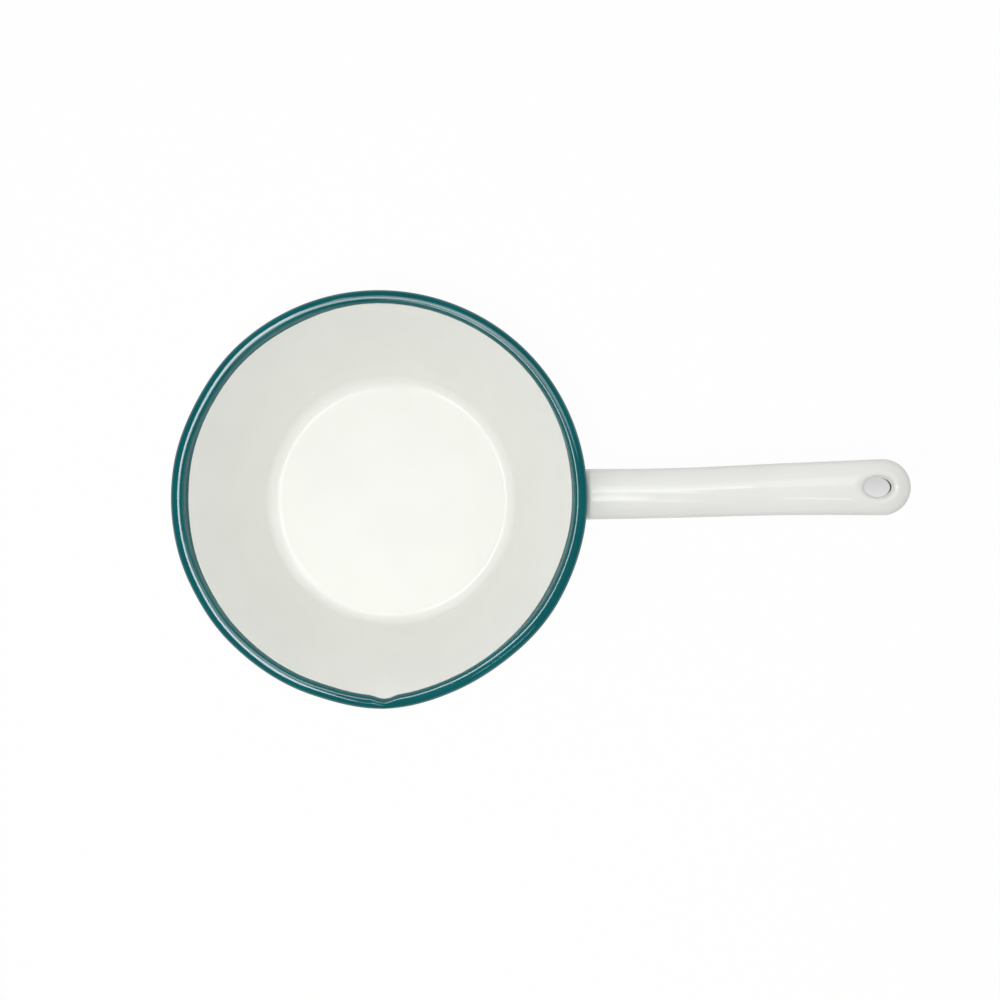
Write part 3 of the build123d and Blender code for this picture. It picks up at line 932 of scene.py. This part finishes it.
# The table, the light and the camera. The pan stands on a plain white table in a soft white room. Flat lamps
# hang over it, each seen as one streak or patch in the gloss, and a small key lamp shades the bowl's wall.
table_size = 6.0
table_white = (0.86, 0.86, 0.86, 1)
table_mesh = bpy.data.meshes.new("table_top")
table_corners = np.array([(-1, -1, 0), (1, -1, 0), (1, 1, 0), (-1, 1, 0)]) * table_size / 2
table_mesh.from_pydata(table_corners, [], [(0, 1, 2, 3)])
table = bpy.data.objects.new("table_top", table_mesh)
bpy.context.scene.collection.objects.link(table)
table_paint = bpy.data.materials.new("table_white")
table_paint.use_nodes = True
paint = table_paint.node_tree
matt = paint.nodes["Principled BSDF"]
feed(paint, matt, {"Base Color": table_white, "Roughness": 0.9, "Specular IOR Level": 0})

# Right under the pan and its handle the table isn't lit from behind, so their shade lies on it there
pan_shade_middle = (-0.006, 0.0014, 0)
pan_shade_radii = (0.066, 0.084)
handle_shade_middle = (0.108, 0.0012)
handle_shade_lengths = (0.106, 0.112)
handle_shade_widths = (0.0065, 0.0105)
table_glow = (0.10, 0.97)


def seen_directly(tree, x, y):
    """One for rays from the camera, off gloss and through glass, and nothing for rays that light things."""
    path = new_node(tree, "ShaderNodeLightPath", (x, y)).outputs
    direct = maths(tree, "MAXIMUM", (x + 200, y), path["Is Camera Ray"], path["Is Glossy Ray"])
    return maths(tree, "MAXIMUM", (x + 400, y), direct, path["Is Transmission Ray"])


def off_band(part, middle, limits, level):
    """Nothing within the first limit from the middle, rising to one at the second."""
    aside = maths(paint, "ABSOLUTE", (-800, level), maths(paint, "SUBTRACT", (-1000, level), part, middle))
    return ranged(paint, (-600, level), aside, *limits, smooth=True)


where = object_place(paint, (-1400, 0))
from_pan = new_node(
    paint, "ShaderNodeVectorMath", (-1200, 100), {0: where, 1: pan_shade_middle}, operation="DISTANCE",
)
off_pan = ranged(paint, (-1000, 100), from_pan.outputs["Value"], *pan_shade_radii, smooth=True)
where_parts = new_node(paint, "ShaderNodeSeparateXYZ", (-1200, -200), {0: where}).outputs
off_side = off_band(where_parts["Y"], handle_shade_middle[1], handle_shade_widths, -150)
off_end = off_band(where_parts["X"], handle_shade_middle[0], handle_shade_lengths, -400)
off_handle = maths(paint, "MAXIMUM", (-400, -200), off_side, off_end)
clear = maths(paint, "MINIMUM", (-200, 0), off_pan, off_handle)
share = ranged(paint, (-200, 200), clear, 0, 1, False, *table_glow)
backlit = maths(paint, "MULTIPLY", (0, 400), seen_directly(paint, -600, 400), share)
glow = new_node(paint, "ShaderNodeEmission", (0, 200), {"Strength": 1.0})
fed = {"Fac": backlit, 1: matt.outputs[0], 2: glow.outputs[0]}
blend = new_node(paint, "ShaderNodeMixShader", (250, 200), fed)
feed(paint, paint.nodes["Material Output"], {"Surface": blend.outputs[0]})
table_mesh.materials.append(table_paint)

lamp_height = 0.42
strip_low = -0.195


def hang(name, lamp, place, turn=0):
    """Hangs a lamp at a place, turned in plan by an angle in degrees, out of the camera's sight."""
    holder = bpy.data.objects.new(name, lamp)
    holder.location = place
    holder.rotation_euler = (0, 0, np.radians(turn))
    holder.visible_camera = False
    bpy.context.scene.collection.objects.link(holder)
    return holder


def gloss_lamp(name, middle, size, radiance, raised=0, turn=0):
    """Flat lamp that shows only in the enamel's gloss. Its power is its radiance times pi times its area."""
    lamp = bpy.data.lights.new(name, "AREA")
    lamp.shape = "RECTANGLE"
    lamp.size, lamp.size_y = size
    lamp.energy = radiance * np.pi * size[0] * size[1]
    hang(name, lamp, (*middle, lamp_height + raised), turn).visible_diffuse = False


gloss_lamp("overhead_lamp", (-0.1060, -0.005), (0.068, 0.31), 13.0)
for number, (top, radiance) in enumerate(((0.24, 5.0), (0.03, 1.5), (-0.04, 1.7), (-0.09, 2.0))):
    middle, length = (strip_low + top) / 2, top - strip_low
    gloss_lamp(f"overhead_strip_{number}", (-0.0645, middle), (0.015, length), radiance, raised=0.002 * number)
gloss_lamp("right_panel", (0.0715, 0.1175), (0.257, 0.145), 3.5)
gloss_lamp("right_panel_edge", (-0.021, 0.078), (0.102, 0.046), 6.0, raised=0.004)
gloss_lamp("crown_line", (-0.040, 0.020), (0.060, 0.022), 8.0, raised=0.012, turn=-58)
gloss_lamp("crown_line_low", (-0.050, -0.228), (0.052, 0.022), 8.0, turn=-59)
gloss_lamp("crown_line_tip", (0.122, -0.180), (0.105, 0.024), 9.0)

key_lamp = bpy.data.lights.new("key_lamp", "AREA")
key_lamp.shape = "DISK"
key_lamp.size = 0.12
key_lamp.energy = 1.6
hang("key_lamp", key_lamp, (-0.040, -0.09, 0.62)).visible_glossy = False

# The room lights things a little more from one side, and its mirror image in the gloss fades upwards
room_lean = (-0.05, 0.18, 0.07)
room_level = 0.575
shown_low = (1.0, 1.0, 1.0, 1)
shown_high = (0.07, 0.07, 0.07, 1)

world = bpy.data.worlds.new("studio")
bpy.context.scene.world = world
world.use_nodes = True
sky = world.node_tree
sky.nodes.clear()
facing = new_node(sky, "ShaderNodeTexCoord", (-1100, 0)).outputs["Generated"]
facing_parts = new_node(sky, "ShaderNodeSeparateXYZ", (-900, 0), {0: facing}).outputs
rise = ranged(sky, (-700, 0), facing_parts["Z"], 0.05, 0.30, smooth=True)
shown = mixed(sky, (-450, 100), rise, shown_low, shown_high)
lean_light = new_node(
    sky, "ShaderNodeVectorMath", (-700, -250), {0: facing, 1: room_lean}, operation="DOT_PRODUCT",
)
level = maths(sky, "ADD", (-450, -250), lean_light.outputs["Value"], room_level)
chosen = mixed(sky, (-200, 0), seen_directly(sky, -900, 500), level, shown)
glow = new_node(sky, "ShaderNodeBackground", (0, 0), {"Color": chosen, "Strength": 1.0})
new_node(sky, "ShaderNodeOutputWorld", (250, 0), {0: glow.outputs[0]})

# The camera stands where the photograph's stood, found from the rim, the base and the handle in it
camera = bpy.data.cameras.new("photo_camera")
camera.lens = 51.93
camera.sensor_width = 36
holder = bpy.data.objects.new("photo_camera", camera)
holder.location = (0.0443, -0.0111, 0.6216)
holder.rotation_euler = np.radians((0.953, -0.19, -1.15))
bpy.context.scene.collection.objects.link(holder)
bpy.context.scene.camera = holder
bpy.context.scene.view_settings.view_transform = "Standard"
